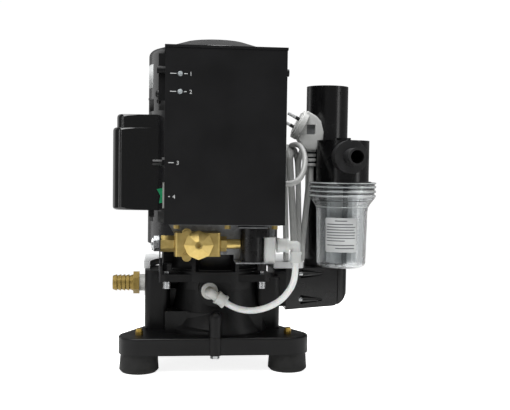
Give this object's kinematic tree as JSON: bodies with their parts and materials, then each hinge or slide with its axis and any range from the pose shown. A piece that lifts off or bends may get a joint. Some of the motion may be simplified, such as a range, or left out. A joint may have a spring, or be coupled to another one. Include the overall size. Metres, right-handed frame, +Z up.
{
  "type": "vacuum pump",
  "caption": "Electric liquid ring vacuum pump for a dental unit: upright motor on its pump, control box, water valve, suction filter and mains cord.",
  "frame": {"origin": "centre of the footprint's bounding box, at the bottom of the rubber feet", "axes": "+Z up along the motor's axis; the front of the control box faces -Y; the suction filter is on the +X side"},
  "size_m": [0.342, 0.2878, 0.425],
  "materials": {
    "black_casting": "satin black paint on a casting",
    "black_rubber": "matt",
    "yellow_zinc": "yellow zinc",
    "bright_screws": "bright zinc",
    "seal_steel": "ground",
    "bronze": "cast",
    "grey_plate": "light grey",
    "black_gloss": "gloss black",
    "core_steel": "stacked sheet",
    "winding": "varnished wire",
    "fan_plastic": "moulded",
    "cover_gloss": "gloss black",
    "capacitor": "plain",
    "box_black": "fine matt black paint",
    "brass": "bare brass",
    "lamp": "clear lens",
    "board": "circuit board",
    "light_bezel": "moulded",
    "green_rocker": "green",
    "black_plastic": "moulded",
    "zinc_sheet": "bent sheet",
    "dark_sheet": "dark sheet",
    "grey_polymer": "moulded",
    "white_tube": "extruded",
    "bushing": "turned",
    "black_moulding": "satin moulding",
    "clear_bowl": "clear",
    "screen_mesh": "wire mesh",
    "grey_cord": "light grey jacket",
    "grey_plug": "moulded"
  },
  "bodies": {
    "pump": {"base_plate": "black_casting", "pump_casing": "black_casting", "pump_cover": "black_casting", "motor_adapter": "black_casting", "rubber_feet": "black_rubber", "bowl_seal": "black_rubber", "foot_bolts": "yellow_zinc", "base_bolts": "bright_screws", "casing_bolts": "bright_screws", "mechanical_seal": "seal_steel", "shaft_bearings": "seal_steel", "support_plate": "grey_plate", "motor_shell": "black_gloss", "motor_top_bell": "black_gloss", "stator_core": "core_steel", "stator_windings": "winding", "capacitor_cover": "cover_gloss", "capacitors": "capacitor", "box_cover": "box_black", "box_chassis": "box_black", "box_side_screws": "box_black", "box_bottom_screws": "brass", "brass_valve_body": "brass", "discharge_barb": "brass", "indicator_lamps": "lamp", "control_board": "board", "switch_bezel": "light_bezel", "protector_body": "black_plastic", "cord_gland": "black_plastic", "solenoid_coil": "black_plastic", "valve_bracket": "zinc_sheet", "solenoid_yoke": "zinc_sheet", "inlet_bracket": "dark_sheet", "water_inlet_fitting": "grey_polymer", "solenoid_body": "grey_polymer", "straight_fitting": "grey_polymer", "upper_elbow": "grey_polymer", "pump_elbow": "grey_polymer", "water_tube": "white_tube", "barb_bushing": "bushing", "inlet_chamber": "black_moulding", "chamber_screws": "black_moulding", "standpipe": "black_moulding", "standpipe_plug": "black_moulding", "strainer_nipple": "black_moulding", "strainer_head": "black_moulding", "strainer_inlet": "black_moulding", "strainer_screen": "screen_mesh", "cord_hank": "grey_cord", "cord_lead": "grey_cord", "cord_tail": "grey_cord", "mains_plug": "grey_plug"},
    "rotor": {"motor_shaft": "seal_steel", "rotor_core": "core_steel", "cooling_fan": "fan_plastic", "impeller": "bronze"},
    "rocker": {"switch_rocker": "green_rocker"},
    "button": {"protector_button": "black_plastic"},
    "bowl": {"strainer_bowl": "clear_bowl"}
  },
  "joints": [
    {"name": "rotor_spin", "type": "hinge", "parent": "pump", "child": "rotor", "pos_m": [-0.039, 0.007, 0.2], "axis": [0, 0, 1], "continuous": true},
    {"name": "rocker_tilt", "type": "hinge", "parent": "pump", "child": "rocker", "pos_m": [-0.106, -0.105, 0.226], "axis": [0, 1, 0], "range_deg": [0, 20]},
    {"name": "protector_push", "type": "slide", "parent": "pump", "child": "button", "axis": [1, 0, 0], "range_m": [0, 0.003], "stiffness_N_per_m": 400, "springref_m": -0.002},
    {"name": "bowl_drop", "type": "slide", "parent": "pump", "child": "bowl", "axis": [0, 0, -1], "range_m": [0, 0.07]}
  ]
}
